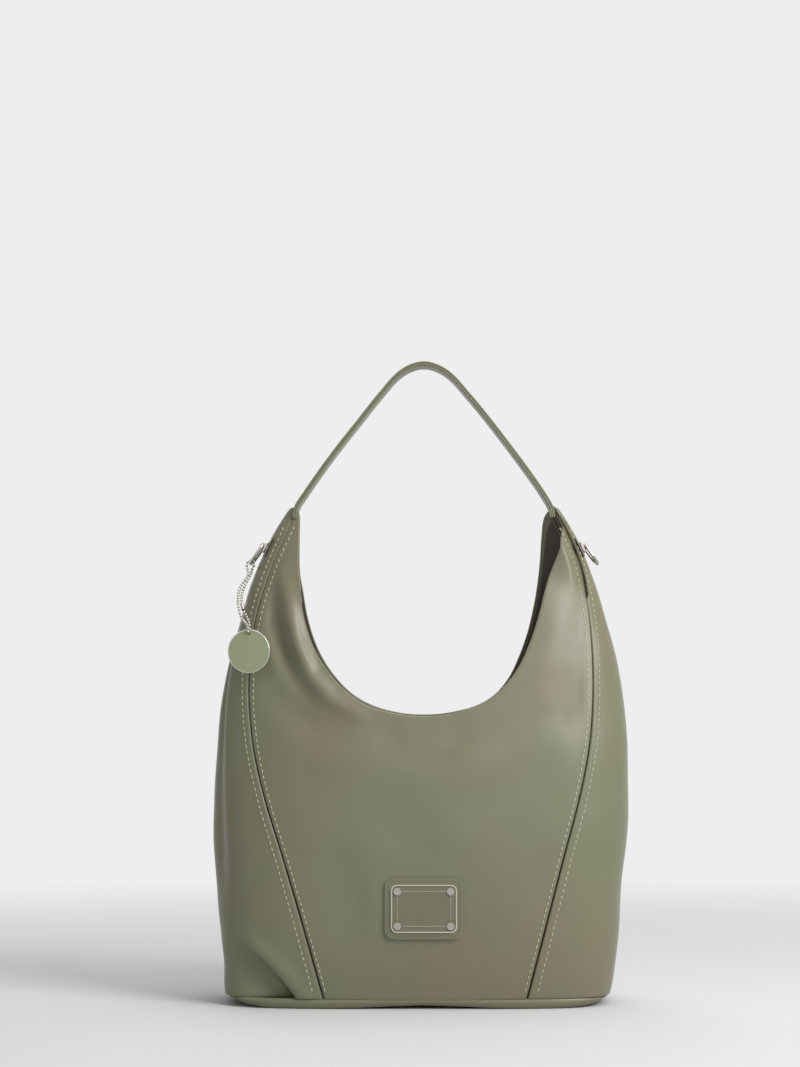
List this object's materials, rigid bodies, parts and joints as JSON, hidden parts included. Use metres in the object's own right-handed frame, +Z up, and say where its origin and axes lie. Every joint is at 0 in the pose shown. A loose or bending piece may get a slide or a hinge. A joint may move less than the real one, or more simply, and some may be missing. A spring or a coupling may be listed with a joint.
{
  "type": "hobo bag",
  "caption": "Slouchy leather shoulder bag with a scooped mouth, one arched strap, side rings, a bare metal badge and a round tag on a ball chain.",
  "frame": {"origin": "centre of the flat underside of the base", "axes": "+Z up, -Y towards the front panel with the badge, +X to the right seen from the front"},
  "size_m": [0.3334, 0.1351, 0.5098],
  "materials": {
    "shell_leather": "satin",
    "lining_fabric": "matte",
    "board": "matte",
    "strap_core": "matte",
    "silver_metal": "polished",
    "plate_enamel": "satin",
    "tag_metal": "satin",
    "backing_metal": "brushed"
  },
  "bodies": {
    "bag": {"front_panel": "shell_leather", "back_panel": "shell_leather", "left_gusset": "shell_leather", "right_gusset": "shell_leather", "base_panel": "shell_leather", "left_handle_tab": "shell_leather", "right_handle_tab": "shell_leather", "badge_patch": "shell_leather", "front_facing": "shell_leather", "back_facing": "shell_leather", "front_lining": "lining_fabric", "back_lining": "lining_fabric", "base_lining": "lining_fabric", "slip_pocket": "lining_fabric", "base_board": "board", "left_ring_bridge": "silver_metal", "right_ring_bridge": "silver_metal", "left_ring_screws": "silver_metal", "right_ring_screws": "silver_metal", "badge_rivets": "silver_metal", "snap_socket": "silver_metal", "snap_stud": "silver_metal", "badge_plate": "plate_enamel", "left_ring_backplate": "backing_metal", "right_ring_backplate": "backing_metal", "badge_washers": "backing_metal", "front_snap_washer": "backing_metal", "back_snap_washer": "backing_metal"},
    "handle": {"handle_top_ply": "shell_leather", "handle_core": "strap_core", "handle_under_ply": "shell_leather"},
    "left_ring": {"left_d_ring": "silver_metal"},
    "right_ring": {"right_d_ring": "silver_metal"},
    "chain": {"ball_chain": "silver_metal", "chain_connector": "silver_metal"},
    "tag": {"hang_tag": "tag_metal"}
  },
  "joints": [
    {"name": "handle_swing", "type": "hinge", "parent": "bag", "child": "handle", "pos_m": [0, 0, 0.407], "axis": [1, 0, 0], "range_deg": [-110, 110]},
    {"name": "left_ring_swing", "type": "hinge", "parent": "bag", "child": "left_ring", "pos_m": [-0.12865, 0, 0.36266], "axis": [0, 1, 0], "range_deg": [0, 120]},
    {"name": "right_ring_swing", "type": "hinge", "parent": "bag", "child": "right_ring", "pos_m": [0.12865, 0, 0.36266], "axis": [0, -1, 0], "range_deg": [0, 120]},
    {"name": "chain_swing", "type": "hinge", "parent": "left_ring", "child": "chain", "pos_m": [-0.1386, 0, 0.34875], "axis": [0, 1, 0], "range_deg": [0, 50]},
    {"name": "tag_swing", "type": "hinge", "parent": "chain", "child": "tag", "pos_m": [-0.136, -0.04992, 0.2912], "axis": [-0.2079, -0.9781, 0], "range_deg": [-45, 60]}
  ]
}
